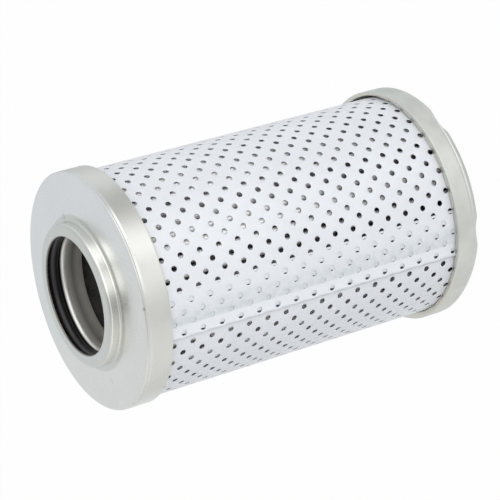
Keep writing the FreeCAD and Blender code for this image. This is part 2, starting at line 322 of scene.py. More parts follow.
def markMask(tree, marks):
    # The strongest of the marks here: each is whole near its middle and gone at its reach
    mask = 0.0
    for distance, degrees, level, reach, strength in marks:
        turn = math.radians(degrees)
        away = tree.nodes.new("ShaderNodeVectorMath")
        away.operation = "DISTANCE"
        tree.links.new(place(tree), away.inputs[0])
        away.inputs[1].default_value = (distance * math.cos(turn) * mm,
                                        distance * math.sin(turn) * mm, level * mm)
        one = rescale(tree, away.outputs["Value"], reach * 0.4 * mm, reach * mm, strength, 0)
        mask = math2(tree, "MAXIMUM", mask, one)
    return mask


def capFinish(name, look):
    # Zinc-plated pressing: cloudy plate, fine grain and a few spots. Level parts take the face's
    # tone and upright ones the skirt's. Round the neck the upright wall is painted lighter and the
    # rim darker, painted light and shade; the lip's edge takes a painted tone, and one side of the
    # open end's face a painted warmer reflection.
    material, tree, shader = startFinish(name)
    cloudy = look["cloudy"]
    cloud = noise(tree, place(tree), capLook["mottle"] * cloudy, 1.5 + cloudy)
    grain = noise(tree, place(tree, stretch=(1, 0.12, 1)), capLook["grain"], 2.0)
    spots = noise(tree, place(tree), capLook["spots"], 1.0)
    normal = tree.nodes.new("ShaderNodeNewGeometry").outputs["Normal"]
    flat = rescale(tree, math2(tree, "ABSOLUTE", axes(tree, normal)["Z"]), 0.1, 0.6, 0, 1)
    skirt = mottled(tree, cloud, look["skirtColour"], 1 - 0.05 * cloudy, 1 + 0.04 * cloudy)
    face = mottled(tree, cloud, look["faceColour"], 0.97, 1.03)
    # one side of the open end's face is painted warmer: a painted reflection
    if "warmColour" in look:
        warmReflection = mottled(tree, cloud, look["warmColour"], 0.97, 1.03)
        where = axes(tree)
        side = math.radians(look["warmSide"])
        along = math2(tree, "ADD", math2(tree, "MULTIPLY", where["X"], math.cos(side)),
                      math2(tree, "MULTIPLY", where["Y"], math.sin(side)))
        run = look["warmRun"] * mm
        face = mixColours(tree, rescale(tree, along, -run, run, 0, 1), face, warmReflection)
    # round the neck, the rim painted darker and the upright wall lighter: painted shade and painted
    # light
    shadedRim = mottled(tree, cloud, capLook["rimColour"], 0.96, 1.04)
    litNeck = mottled(tree, cloud, capLook["neckColour"], 0.96, 1.04)
    inner = math2(tree, "MULTIPLY", insideRadius(tree, capLook["neckReach"]),
                  aboveLevel(tree, capLook["neckLevel"]))
    plate = mixColours(tree, flat, mixColours(tree, inner, skirt, litNeck),
                       mixColours(tree, inner, face, shadedRim))
    # the lip's edge: painted shade on the open cap's rim, a painted warm reflection and shade on the
    # closed cap's skirt
    lip = math2(tree, "MULTIPLY", insideRadius(tree, look["lipReach"], 0.15),
                aboveLevel(tree, capLook["lipLevel"]))
    plate = mixColours(tree, lip, plate, look["lipColour"])
    if "marks" in look:
        speckle = rescale(tree, spots, 0.35, 0.65, 0.35, 1.0)
        marked = math2(tree, "MULTIPLY", markMask(tree, look["marks"]), speckle)
        plate = mixColours(tree, marked, plate, capLook["markColour"])
    spotMask = rescale(tree, spots, 0.77, 0.83, 0.0, 0.5)
    rough = math2(tree, "ADD", varied(tree, cloud, look["roughness"], 0.04, 0.05),
                  varied(tree, grain, 0, 0.015, 0.015))
    paint(tree, shader, mixColours(tree, spotMask, plate, capLook["spotColour"]), rough, 1.0)
    relief = math2(tree, "ADD", cloud, math2(tree, "MULTIPLY", grain, 0.008))
    bump(tree, shader, relief, 0.1, 0.09)
    return material


guardLook = {
    "colour": (0.80, 0.83, 0.875),
    "metallic": 0.06,
    "roughness": 0.36,
    "mottle": 55.0,
    "spangle": 400.0,
    # two bands of the lap, a painted highlight and painted shade, in degrees on from its free edge:
    # start, whole, fading and end
    # painted highlight along the free edge, where the lap tilts toward the light
    "strip": (0.4, 0.8, 6.4, 7.4),
    "stripColour": (0.86, 0.90, 0.95),
    "band": (6.4, 7.4, 12.0, 18.0),          # painted shade, mottled
    "bandColour": (0.69, 0.745, 0.785),
    "bandMottle": 420.0,
}


def between(tree, value, start, whole, fading, end):
    # 1 from whole to fading, and down to 0 at start and at end
    return math2(tree, "MULTIPLY", rescale(tree, value, start, whole, 0, 1),
                 rescale(tree, value, fading, end, 1, 0))


def guardFinish():
    # Pale galvanised sheet with a faint cloud and spangle, and along the lap a painted highlight strip
    # and a mottled band of painted shade
    material, tree, shader = startFinish("pale_galvanised_sheet")
    cloud = noise(tree, place(tree), guardLook["mottle"], 4.0)
    spangle = noise(tree, place(tree), guardLook["spangle"], 2.0)
    where = axes(tree)
    around = math2(tree, "DEGREES", math2(tree, "ARCTAN2", where["Y"], where["X"]))
    away = math2(tree, "SUBTRACT", around, guard["freeEdge"])
    mottle = noise(tree, place(tree), guardLook["bandMottle"], 3.0)
    band = math2(tree, "MULTIPLY", between(tree, away, *guardLook["band"]),
                 rescale(tree, mottle, 0.42, 0.6, 0.2, 1.0))
    colour = mottled(tree, cloud, guardLook["colour"], 0.975, 1.02)
    # the lap's mottled band of painted shade
    colour = mixColours(tree, band, colour, guardLook["bandColour"])
    # the strip of painted highlight along the free edge
    colour = mixColours(tree, between(tree, away, *guardLook["strip"]), colour,
                        guardLook["stripColour"])
    paint(tree, shader, colour, varied(tree, spangle, guardLook["roughness"], 0.05, 0.07),
          guardLook["metallic"])
    relief = math2(tree, "ADD", cloud, math2(tree, "MULTIPLY", spangle, 0.12))
    bump(tree, shader, relief, 0.3, 0.12)
    return material


collarLook = {
    "colour": (0.95, 0.945, 0.93),
    "metallic": 0.82,
    "roughness": 0.42,
    "mottle": 60.0,
    "rings": 1500.0,
    # painted light and shade by the depth below the flange: the seal's painted shade, a painted
    # highlight on the mouth, painted shade on the wall, a painted warm reflection at the inner end
    "tones": ((0.3, (0.05, 0.05, 0.052)), (0.85, (0.95, 0.95, 0.93)), (2.6, (0.95, 0.95, 0.93)),
              (4.4, (0.48, 0.48, 0.47)), (6.2, (0.95, 0.93, 0.88)), (7.6, (1.0, 0.98, 0.90))),
    "toneRun": 10.0,       # depth that the ramp of painted light and shade stands for
}


def collarFinish():
    # Bright drawn steel with fine rings round the bore, darkened and lightened by depth with painted
    # light and shade
    material, tree, shader = startFinish("bright_drawn_steel")
    cloud = noise(tree, place(tree), collarLook["mottle"], 3.0)
    rings = noise(tree, place(tree, stretch=(0.02, 0.02, 1)), collarLook["rings"], 2.0)
    top = highLevel("seal_collar")
    run = collarLook["toneRun"]
    # painted light and shade by the depth below the flange's top
    depth = rescale(tree, axes(tree)["Z"], top * mm, (top - run) * mm, 0, 1)
    stops = [(level / run, colour) for level, colour in collarLook["tones"]]
    paintedLightByDepth = ramp(tree, depth, stops[0][0], stops[-1][0], stops[0][1], stops[-1][1])
    for where, colour in stops[1:-1]:
        paintedLightByDepth.node.color_ramp.elements.new(where).color = (*colour, 1)
    steel = mottled(tree, cloud, collarLook["colour"], 0.94, 1.05)
    paint(tree, shader, mixColours(tree, 1.0, steel, paintedLightByDepth, "MULTIPLY"),
          varied(tree, rings, collarLook["roughness"], 0.04, 0.08), collarLook["metallic"])
    bump(tree, shader, rings, 0.2, 0.02)
    return material


rubberLook = {
    "colour": (0.013, 0.013, 0.015),
    "roughness": 0.38,
    "mottle": 120.0,
    "grain": 1600.0,
}


def rubberFinish():
    material, tree, shader = startFinish("black_nitrile_rubber")
    grain = noise(tree, place(tree), rubberLook["grain"], 2.0)
    cloud = noise(tree, place(tree), rubberLook["mottle"], 3.0)
    paint(tree, shader, mottled(tree, cloud, rubberLook["colour"], 0.8, 1.5),
          varied(tree, cloud, rubberLook["roughness"], 0.06, 0.1))
    bump(tree, shader, grain, 0.12, 0.03)
    return material


coreLook = {
    "colour": (0.13, 0.128, 0.124),
    "metallic": 0.6,
    "roughness": 0.27,
    "mottle": 90.0,
}


def coreFinish():
    material, tree, shader = startFinish("black_coated_steel")
    cloud = noise(tree, place(tree), coreLook["mottle"], 4.0)
    paint(tree, shader, mottled(tree, cloud, coreLook["colour"], 0.7, 1.7),
          varied(tree, cloud, coreLook["roughness"], 0.08, 0.1), coreLook["metallic"])
    bump(tree, shader, cloud, 0.5, 0.15)
    return material


meshLook = {
    "wireColour": (0.96, 0.96, 0.96),
    # the gaps between the wires are painted darker: painted shade
    "gapColour": (0.80, 0.80, 0.80),
    "wireRoughness": 0.3,
    "gapRoughness": 0.5,
    "metallic": 0.35,
    "pitch": 0.84,         # between neighbouring wires
}


def wireMeshFinish():
    # Plain weave: waves along the web's own u and then along its v, both lengths in metres.
    # Diagonal waves repeat every 2 pi / (10 scale), along the sum of the axes that are left in.
    material, tree, shader = startFinish("woven_wire_cloth")
    waves = []
    for stretch in ((1, 0, 0), (0, 1, 0)):
        wave = tree.nodes.new("ShaderNodeTexWave")
        wave.inputs["Scale"].default_value = 2 * math.pi / (10 * meshLook["pitch"] * mm)
        tree.links.new(place(tree, "UV", stretch), wave.inputs["Vector"])
        wave.bands_direction = "DIAGONAL"
        waves.append(wave.outputs["Fac"])
    weave = math2(tree, "MAXIMUM", *waves)
    # wires pale, the gaps between them darker with painted shade
    colour = ramp(tree, weave, 0.25, 0.75, meshLook["gapColour"], meshLook["wireColour"])
    rough = rescale(tree, weave, 0, 1, meshLook["gapRoughness"], meshLook["wireRoughness"])
    paint(tree, shader, colour, rough, meshLook["metallic"])
    bump(tree, shader, weave, 0.6, 0.1)
    return material


fibreLook = {
    "darkColour": (0.62, 0.62, 0.59),
    "paleColour": (0.8, 0.8, 0.78),
    "roughness": 0.9,
    "strands": (1800.0, 4.0, 0.7),           # scale, detail and roughness of the noise
    "relief": (0.5, 0.1),                    # strength and depth of the bump
}

adhesiveLook = {
    "darkColour": (0.16, 0.16, 0.16),
    "paleColour": (0.26, 0.26, 0.255),
    "roughness": 0.45,
    "strands": (160.0, 3.0, 0.55),
    "relief": (0.4, 0.2),
}


def mattFinish(name, look):
    # Matt stuff whose colour and relief follow one noise
    material, tree, shader = startFinish(name)
    strands = noise(tree, place(tree), *look["strands"])
    colour = ramp(tree, strands, 0.3, 0.7, look["darkColour"], look["paleColour"])
    paint(tree, shader, colour, look["roughness"])
    bump(tree, shader, strands, *look["relief"])
    return material


openCapSteel = capFinish("zinc_plate_open_end", openEnd)
closedCapSteel = capFinish("zinc_plate_closed_end", closedEnd)
print("cap finishes made")


# Open end cap: skirt, groove and ridge under the corner, flat face and the neck with its rim

openCap = {
    "sheet": 0.9,
    "faceDrop": 4.1,        # from the rim down to the flat face
    "cornerRounding": 1.2,
    "ridgeDrop": 0.68,      # from the face down to the ridge where the corner ends
    "ridgeReach": 0.65,
    "ridgeRounding": 0.35,
    "groove": 0.2,          # how far the skirt lies in just under the ridge
    "grooveEnds": ((1.2, 0.8), (0.4, 0.2)),      # how far under the ridge, with the rounding there
    "neckRadius": 23.8,
    "neckRounding": 1.15,
    "neckFoot": 0.8,        # rounding where the neck leaves the face
    "boreRounding": 0.44,   # where the rim turns down into the bore
    "innerRounding": 0.3,   # of the rim's edge and of the fold behind it
    "insideRoundings": (0.2, 0.6),       # under the neck's foot and under the cap's corner
    "lipRounding": 0.18,
    "wobble": 0.05,         # how far the drawn skirt strays from round
    "wobbleDepth": 10.0,    # fully so from this far below the face
    "wobbleWaves": ((3, 0.0, 0.6), (5, 1.0, 0.4)),       # waves to a turn, their start, share
    "flatAngle": -160.0,    # degrees about the axis: the cap is pushed in a little there
    "flatWidth": 62.0,
    "flatDepth": 0.75,
    "turns": 300,
}
faceLevel = rimLevel - openCap["faceDrop"]
pushRadii = (28.0, 38.0)    # where the push on a cap's flat side starts, and where it is whole


def bell(angle, middle, width):
    # 1 at the middle angle, down to 0 at that many degrees to either side: cos^2 of the share
    away = (np.degrees(angle) - middle + 180) % 360 - 180
    return np.cos(np.clip(away / width, -1, 1) * np.pi / 2) ** 2


def pushedIn(size, radius, angle):
    # How far a cap is pushed in on its flat side
    push = size["flatDepth"] * bell(angle, size["flatAngle"], size["flatWidth"])
    start, whole = pushRadii
    return push * np.clip((radius - start) / (whole - start), 0, 1)


def skirtWobble(radius, height, angle):
    # The skirt strays inwards by slow waves: r + wobble (sum of share sin(waves a + start) - 1),
    # less what is pushed in
    size = openCap
    depth = np.clip((faceLevel - height) / size["wobbleDepth"], 0, 1)
    stray = sum(share * np.sin(waves * angle + start)
                for waves, start, share in size["wobbleWaves"]) - 1
    return radius + size["wobble"] * depth * stray - pushedIn(size, radius, angle), height


def makeOpenCap():
    size = openCap
    outside = outerRadius("open_end_cap")
    inside = outside - size["sheet"]
    lip = lowLevel("open_end_cap")
    under = faceLevel - size["sheet"]
    rimUnder = rimLevel - size["sheet"]
    neckInside = size["neckRadius"] - size["sheet"]
    ridge = faceLevel - size["ridgeDrop"]
    (grooveLow, lowRounding), (grooveHigh, highRounding) = size["grooveEnds"]
    footInside, cornerInside = size["insideRoundings"]
    outline = roundedSection([
        (inside, lip, size["lipRounding"]),
        (outside, lip, size["lipRounding"]),
        (outside, ridge - grooveLow, lowRounding),
        (outside - size["groove"], ridge - grooveHigh, highRounding),
        (outside, ridge, size["ridgeRounding"]),
        (outside - size["ridgeReach"], faceLevel, size["cornerRounding"]),
        (size["neckRadius"], faceLevel, size["neckFoot"]),
        (size["neckRadius"], rimLevel, size["neckRounding"]),
        (boreRadius, rimLevel, size["boreRounding"]),
        (boreRadius, rimUnder, size["innerRounding"]),
        (neckInside, rimUnder, size["innerRounding"]),
        (neckInside, under, footInside),
        (inside, under, cornerInside),
    ], hold=0.06)
    points, faces = turnSection(outline, size["turns"], skirtWobble)
    newPiece("open_cap_pressing", points, [faces], openCapSteel, ["open_end_cap"])


# Closed end cap: a dish with six dents crimped into its corner

closedCap = {
    "sheet": 1.4,
    "cornerRounding": 2.4,
    "lipRounding": 0.18,
    "dents": 6,
    "firstDent": 40.5,
    "dentBall": 16.0,
    "dentDepth": 1.0,
    "dentSoftness": 0.35,   # the dent's edge is rounded over this depth
    # rows of points, close enough together to take the dents and the groove: of the bottom plate
    # from dentReach inside the corner, of the corner, and of the skirt by heights over the corner
    "dentReach": 10.0,
    "plateRows": 14,
    "cornerRows": 12,
    "lowRows": (0.12, 0.24, 0.36, 0.5, 0.7, 1.0),
    "highRows": (1.6, 0.5, 8),           # first over the corner, last below the lip, how many
    "groove": 0.13,         # how far the skirt lies in just above the corner
    "grooveRise": 0.34,     # from the corner up to the groove's middle
    "grooveWidth": 0.24,
    "lipBevel": 0.05,       # the middle of the lip's rounding lies this far in from its corner
    "lipLean": 2.0,         # the inside leans in over this length
    "leanTop": 0.2,         # and fully so from this far below the lip
    "lipInside": 38.2,      # radius that the lip is drawn in to, next to the sleeve
    "lipOver": (-78.0, 30.0, 0.4),   # it clears the sleeve's lap: middle and width in degrees, rise
    "lipGap": (27.5, 60.0, 0.8),     # and gapes on the far side
    "flatAngle": -112.5,    # degrees about the axis: the cap is pushed in a little there
    "flatWidth": 34.0,
    "flatDepth": 0.7,
    "turns": 360,
}


def pressDents(points, ballRadius):
    # A ball sits against the corner at each dent: what it covers moves out to its surface
    size = closedCap
    soft = size["dentSoftness"]
    reach = size["cornerRounding"] + size["dentBall"] - size["dentDepth"]
    out = outerRadius("closed_end_cap") - size["cornerRounding"] + reach * math.sqrt(0.5)
    down = size["cornerRounding"] - reach * math.sqrt(0.5)
    for turn in np.radians(size["firstDent"] + np.arange(size["dents"]) * 360 / size["dents"]):
        centre = np.array([out * math.cos(turn), out * math.sin(turn), down])
        away = points - centre
        distance = np.linalg.norm(away, axis=1, keepdims=True)
        gap = distance - ballRadius
        edge = np.where(gap < soft, (gap - soft) ** 2 / (4 * soft), 0)
        points = points + away / distance * np.where(gap < -soft, -gap, edge)
    return points


def makeClosedCap():
    size = closedCap
    outside = outerRadius("closed_end_cap")
    inside = outside - size["sheet"]
    lip = highLevel("closed_end_cap")
    corner = size["cornerRounding"]
    bendRadius = outside - corner
    over, below, count = size["highRows"]
    plate = np.linspace(bendRadius - size["dentReach"], bendRadius, size["plateRows"],
                        endpoint=False)
    wall = np.concatenate([corner + np.array(size["lowRows"]),
                           np.linspace(corner + over, lip - below, count)])
    arc = np.linspace(0, np.pi / 2, size["cornerRows"])
    under = np.stack([plate, 0 * plate], axis=1)
    bend = np.stack([bendRadius + corner * np.sin(arc), corner - corner * np.cos(arc)], axis=1)
    groove = size["groove"] * np.exp(-((wall - corner - size["grooveRise"]) / size["grooveWidth"]) ** 2)
    side = np.stack([outside - groove, wall], axis=1)
    outer = np.concatenate([under, bend, side])
    # the inside follows one sheet in from the outside
    innerBend = corner - size["sheet"]
    bendIn = np.stack([bendRadius + innerBend * np.sin(arc), corner - innerBend * np.cos(arc)], axis=1)
    sideIn = np.stack([0 * wall + inside, wall], axis=1)
    underIn = np.stack([plate, 0 * plate + size["sheet"]], axis=1)
    inner = np.concatenate([underIn, bendIn, sideIn])[::-1]
    rounding = size["lipRounding"]
    bevel = size["lipBevel"]
    edge = np.array([[outside, lip - rounding], [outside - bevel, lip - bevel],
                     [outside - rounding, lip], [inside + rounding, lip],
                     [inside + bevel, lip - bevel], [inside, lip - rounding]])
    angle = np.linspace(0, 2 * np.pi, size["turns"], endpoint=False)[None, :]
    drawnIn = size["lipInside"]
    for middle, width, rise in (size["lipOver"], size["lipGap"]):
        drawnIn = drawnIn + rise * bell(angle, middle, width)
    leanFrom = lip - size["leanTop"] - size["lipLean"]
    parts = []
    for line, ball in ((outer, size["dentBall"]), (edge, None),
                       (inner, size["dentBall"] + size["sheet"])):
        radius, height = line[:, :1], line[:, 1:]
        push = pushedIn(size, radius, angle)
        innerSide = radius < (inside + outside) / 2
        lean = np.clip((height - leanFrom) / size["lipLean"], 0, 1) * innerSide
        radius = radius - push - lean * np.maximum(inside - push - drawnIn, 0)
        points = np.stack([radius * np.cos(angle), radius * np.sin(angle), height + 0 * angle],
                          axis=-1).reshape(-1, 3)
        parts.append(pressDents(points, ball) if ball else points)
    points = np.concatenate(parts)
    rows = len(outer) + len(edge) + len(inner)
    faces = gridFaces(rows, size["turns"], wrapRows=False)
    # a fan of triangles closes each side of the plate at its middle
    middle = len(points)
    points = np.concatenate([points, [[0, 0, 0], [0, 0, size["sheet"]]]])
    first = np.arange(size["turns"])
    after = np.roll(first, -1)
    last = (rows - 1) * size["turns"]
    fanUnder = np.stack([after, first, 0 * first + middle], axis=1)
    fanOver = np.stack([last + first, last + after, 0 * first + middle + 1], axis=1)
    newPiece("closed_cap_pressing", points, [faces, np.concatenate([fanUnder, fanOver])],
             closedCapSteel, ["closed_end_cap"])


makeOpenCap()
makeClosedCap()


# Perforated guard: one flat sheet, tiled hole by hole, rolled round with its ends lapped.
# s runs along the sheet from its free edge, t along the element from the open end's face.

guard = {
    "sheet": 0.30,
    "holeRadius": 0.98,
    "rimRadius": 1.17,       # where the punched edge starts to turn in
    "rimDrop": 0.05,
    "rowWidth": 3.506,
    "rowTotal": 73,
    "cellLength": 6.92,
    "firstCell": 3.84,       # start of the first cell, from the open end's face
    "cells": 17,
    "edgeMargin": 0.17,      # plain strip along the free edge
    "freeEdge": -90.0,       # degrees about the axis
    # how far back the sheet under the lap lies, by the mm that it is past the full turn
    "slipFrom": (-1.2, 0.3, 2.35, 4.8, 8.3, 11.8, 14.2, 16.5),
    "slips": (0.0, 0.08, 1.0, 1.6, 1.42, 0.98, 1.35, 1.45),
    "slipLoss": 0.42,        # how much less that is at the closed end
    "lossOver": 1.6,         # the loss comes in over this length, from where the slips start
    "skew": 0.6,             # the free edge leans by this much over the element's length
    "lapAngles": (0.0, 5.2, 13.0, 24.5),     # degrees on from the free edge
    "lapRises": (0.45, 0.0, 0.45, 0.0),      # how far the outer lap stands proud there
    "underRises": (0.0, 0.0, 0.45, 0.0),     # the sheet under the lap follows it
    "underStep": 0.35,       # how far that sheet steps in
    "stepFrom": 356.0,       # degrees on from the free edge where the step starts
    "stepOver": 3.5,
    "mergeSteps": 2000,      # to a row or a millimetre: corners that round to one step are joined
}


def guardCells():
    # Each cell's row and its distance on from the first cell, and the odd rows, which are half a
    # cell on with a blank half cell at each end
    size = guard
    even = np.arange(0, size["rowTotal"], 2)
    odd = np.arange(1, size["rowTotal"], 2)
    step = size["cellLength"]
    evenCells = np.stack(np.meshgrid(even, np.arange(size["cells"]) * step, indexing="ij"), -1)
    oddCells = np.stack(np.meshgrid(odd, (np.arange(size["cells"] - 1) + 0.5) * step,
                                    indexing="ij"), -1)
    cells = np.concatenate([evenCells.reshape(-1, 2), oddCells.reshape(-1, 2)])
    return cells, odd


def squareRing():
    # Sixteen points round a unit square, four to a side, from the middle of its right side
    quarter = np.array([0, 0.25, 0.5, 0.5])
    rise = np.array([0.5, 0.5, 0.5, 0.25])
    side = np.stack([rise, quarter], axis=1)
    turned = [side @ np.array([[math.cos(a), math.sin(a)], [-math.sin(a), math.cos(a)]])
              for a in np.arange(4) * np.pi / 2]
    return np.round(np.concatenate(turned), 6)


def squaresAt(*corners):
    # Squares from four corners (s, t, depth), where each value may be a table of many
    return np.stack([np.stack(np.broadcast_arrays(*corner), axis=-1) for corner in corners], axis=1)


def guardSheet():
    # Squares of the flat sheet as (s in rows, t in mm, depth), four corners each: in every cell
    # rings run from its border to the hole's rim, down the hole and back under to the border.
    size = guard
    sheet = size["sheet"]
    cells, odd = guardCells()
    border = squareRing() * [1, size["cellLength"]]
    turn = np.arange(16) * np.pi / 8
    circle = np.stack([np.cos(turn) / size["rowWidth"], np.sin(turn)], axis=1)
    rings = [(border, 0.0), (circle * size["rimRadius"], 0.0),
             (circle * size["holeRadius"], size["rimDrop"]), (circle * size["holeRadius"], sheet),
             (border, sheet)]
    centre = cells + [0.5, size["cellLength"] / 2 + size["firstCell"]]
    squares = []
    for (ringA, depthA), (ringB, depthB) in zip(rings[:-1], rings[1:]):
        corners = [(ringA, depthA), (np.roll(ringA, -1, axis=0), depthA),
                   (np.roll(ringB, -1, axis=0), depthB), (ringB, depthB)]
        flat = [np.concatenate([centre[:, None, :] + ring[None],
                                np.full((len(centre), 16, 1), depth)], axis=2)
                for ring, depth in corners]
        squares.append(np.stack(flat, axis=2).reshape(-1, 4, 3))
    # plain strips: the two margins beyond the cells, and the blank half cells of odd rows
    step = 0.25          # of a row: the rings have four points to a side
    half = size["cellLength"] / 2
    first = size["firstCell"]
    last = first + size["cells"] * size["cellLength"]
    top = faceLevel - highLevel("perforated_guard")
    bottom = faceLevel - lowLevel("perforated_guard")
    across = np.arange(size["rowTotal"] * 4) * step
    strips = [(across, top, first), (across, last, bottom)]
    oddAcross = (odd[:, None] + np.arange(4) * step).ravel()
    for start in (first, last - half):
        strips += [(oddAcross, start, start + half / 2), (oddAcross, start + half / 2, start + half)]
    for s, start, end in strips:
        for depth, order in ((0.0, 1), (sheet, -1)):
            flat = squaresAt((s, start, depth), (s + step, start, depth), (s + step, end, depth),
                             (s, end, depth))
            squares.append(flat[:, ::order])
    # the four edges of the sheet
    for t, order in ((top, -1), (bottom, 1)):
        flat = squaresAt((across, t, 0), (across + step, t, 0), (across + step, t, sheet),
                         (across, t, sheet))
        squares.append(flat[:, ::order])
    levels = np.concatenate([[top], first + np.arange(size["cells"] * 4 + 1) * half / 2, [bottom]])
    for s, order in ((0.0, 1), (float(size["rowTotal"]), -1)):
        flat = squaresAt((s, levels[:-1], 0), (s, levels[1:], 0), (s, levels[1:], sheet),
                         (s, levels[:-1], sheet))
        squares.append(flat[:, ::order])
    return np.concatenate(squares)


def rollGuard(flat):
    # Place of each flat point: its angle is the length rolled so far, less the slip, over the
    # radius. The sheet stands proud along the lap and steps in under its own free edge.
    size = guard
    row, t, depth = flat.T
    radius = outerRadius("perforated_guard")
    length = row * size["rowWidth"] + size["edgeMargin"]
    past = length - math.radians(360) * radius
    comeIn = np.clip((past - size["slipFrom"][0]) / size["lossOver"], 0, 1)
    loss = size["slipLoss"] * t / faceLevel * comeIn
    length = length + loss - np.interp(past, size["slipFrom"], size["slips"])
    lean = size["skew"] * (t / faceLevel - 0.5) * np.clip(1 - length, 0, 1)
    degrees = np.degrees((length - lean) / radius)
    proud = np.interp(degrees, size["lapAngles"], size["lapRises"])
    proud = proud + np.interp(degrees - 360, size["lapAngles"], size["underRises"])
    step = size["underStep"] * np.clip((degrees - size["stepFrom"]) / size["stepOver"], 0, 1)
    angle = np.radians(size["freeEdge"] + degrees)
    far = radius + proud - step - depth
    return np.stack([far * np.cos(angle), far * np.sin(angle), faceLevel - t], axis=1)


def makeGuard():
    squares = guardSheet()
    keys = np.round(squares.reshape(-1, 3) * guard["mergeSteps"]).astype(np.int64)
    unique, numbers = np.unique(keys, axis=0, return_inverse=True)
    points = rollGuard(unique / guard["mergeSteps"])
    newPiece("perforated_sleeve", points, [numbers.reshape(-1, 4)[:, ::-1]], guardFinish(),
             ["perforated_guard"])


makeGuard()


# Pleated pack: three webs folded together; the outermost shows in the holes

pack = {
    "pleats": 53,
    "firstPleat": 2.95,      # degrees
    "lean": 1.9,             # degrees that the pleats turn by over their length
    "outerRadius": 37.2,
    "innerRadius": 23.7,
    # where crests are pressed in, under the lap and beside it: middle and reach in degrees, depth
    "presses": ((-77.5, 13.5, 2.1), (-98.9, 2.0, 1.3)),
    "crestWidth": 3.0,
    "valleyGap": 0.3,
    "crestRounding": 0.25,   # of the innermost fold line; a line further out adds its distance
    "valleyRounding": (0.1, 0.9),        # of the outermost line, and added for each mm further in
    "webs": (("upstream_cloth", "upstream_mesh", 0.0, 0.3),
             ("fibre_media", "filter_media", 0.3, 0.5),
             ("downstream_cloth", "downstream_mesh", 0.8, 0.3)),
}


def pressAt(degrees):
    # How far crests are pressed in: fully to 1 degree short of the reach, not at all 1 degree past
    press = 0.0
    for middle, reach, depth in pack["presses"]:
        away = abs((degrees - middle + 180) % 360 - 180)
        press += depth * min(1, max(0, (reach + 1 - away) / 2))
    return press


def pleatLine(depth):
    # Folded line at a depth inside the pack's outer face: each pleat has a crest, two flanks
    # and a valley, each corner taken by an arc.
    size = pack
    total = sum(web[3] for web in size["webs"])
    pitch = 2 * np.pi / size["pleats"]
    far = size["outerRadius"] - depth
    near = size["innerRadius"] - depth
    crest = (size["crestWidth"] / 2 - depth) / far
    valley = (size["valleyGap"] / 2 + depth) / near
    outerArc = size["crestRounding"] + total - depth
    valleyStart, valleyGrowth = size["valleyRounding"]
    innerArc = valleyStart + valleyGrowth * depth
    corners = []
    for pleat in range(size["pleats"]):
        turn = pleat * pitch + math.radians(size["firstPleat"])
        crestRadius = far - pressAt(math.degrees(turn))
        for radius, angle, rounding in ((crestRadius, -crest, outerArc),
                                        (crestRadius, crest, outerArc),
                                        (near, pitch / 2 - valley, innerArc),
                                        (near, pitch / 2 + valley, innerArc)):
            corners.append((radius * math.cos(turn + angle), radius * math.sin(turn + angle),
                            rounding))
    return roundedSection(corners, parts=4, hold=0.03)


def leanLine(line, share):
    # The folded line turned about the axis by its share of the lean: 1/2 at the closed end, -1/2
    # at the open end
    turn = math.radians(pack["lean"] * share)
    spin = np.array([[math.cos(turn), math.sin(turn)], [-math.sin(turn), math.cos(turn)]])
    return line @ spin


def makeWeb(name, node, depth, thickness, finish):
    outer = pleatLine(depth)
    inner = pleatLine(depth + thickness)
    low, high = lowLevel(node), highLevel(node)
    rings = []
    for line, level, share in ((outer, low, 0.5), (outer, high, -0.5), (inner, high, -0.5),
                               (inner, low, 0.5)):
        turned = leanLine(line, share)
        rings.append(np.concatenate([turned, np.full((len(line), 1), level)], axis=1))
    points = np.concatenate(rings)
    piece = newPiece(name, points, [gridFaces(4, len(outer))], finish, [node])
    # u is the length along the folded line and v the height, both in metres
    along = np.concatenate([[0], np.cumsum(np.linalg.norm(np.diff(outer, axis=0), axis=1))])
    u = np.tile(along, 4) * mm
    v = points[:, 2] * mm
    layer = piece.data.uv_layers.new(name="web")
    corner = np.zeros(len(piece.data.loops), np.int32)
    piece.data.loops.foreach_get("vertex_index", corner)
    layer.data.foreach_set("uv", np.stack([u[corner], v[corner]], axis=1).astype(np.float32).ravel())


wireCloth = wireMeshFinish()
webFinishes = (wireCloth, mattFinish("glass_fibre_web", fibreLook), wireCloth)
webSlots = ("wire_mesh", "glass_fibre", "wire_mesh")
for (name, node, depth, thickness), finish, slotName in zip(pack["webs"], webFinishes, webSlots):
    makeWeb(name, node, depth, thickness, finish)


# Sealing ring and the flanged collar behind it

sealRing = {"turns": 240, "parts": 40}


def makeSealRing():
    # Circle of the ring's section turned about the axis
    low, high = lowLevel("seal_ring"), highLevel("seal_ring")
    minor = (high - low) / 2
    major = outerRadius("seal_ring") - minor
    turn = np.linspace(0, 2 * np.pi, sealRing["parts"], endpoint=False)
    outline = np.stack([major + minor * np.cos(turn), (low + high) / 2 + minor * np.sin(turn)], axis=1)
    points, faces = turnSection(outline, sealRing["turns"])
    newPiece("sealing_ring", points, [faces], rubberFinish(), ["seal_ring"])


collar = {
    "sheet": 0.9,
    "mouthRounding": 1.8,
    "endRounding": 0.2,
    "turns": 300,
}


def makeCollar():
    size = collar
    low, high = lowLevel("seal_collar"), highLevel("seal_collar")
    flange = outerRadius("seal_collar")
    outside = boreRadius + size["sheet"]
    outline = roundedSection([
        (boreRadius, low, size["endRounding"]),
        (outside, low, size["endRounding"]),
        (outside, high - size["sheet"], size["mouthRounding"] - size["sheet"]),
        (flange, high - size["sheet"], size["endRounding"]),
        (flange, high, size["endRounding"]),
        (boreRadius, high, size["mouthRounding"]),
    ])
    points, faces = turnSection(outline, size["turns"])
    newPiece("flanged_collar", points, [faces], collarFinish(), ["seal_collar"])


makeSealRing()
makeCollar()


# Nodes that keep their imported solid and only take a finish

def dressNode(node, finish):
    slots = frame["nodes"][node].data.materials
    for index in range(len(slots)):
        slots[index] = finish
    if not slots:
        slots.append(finish)


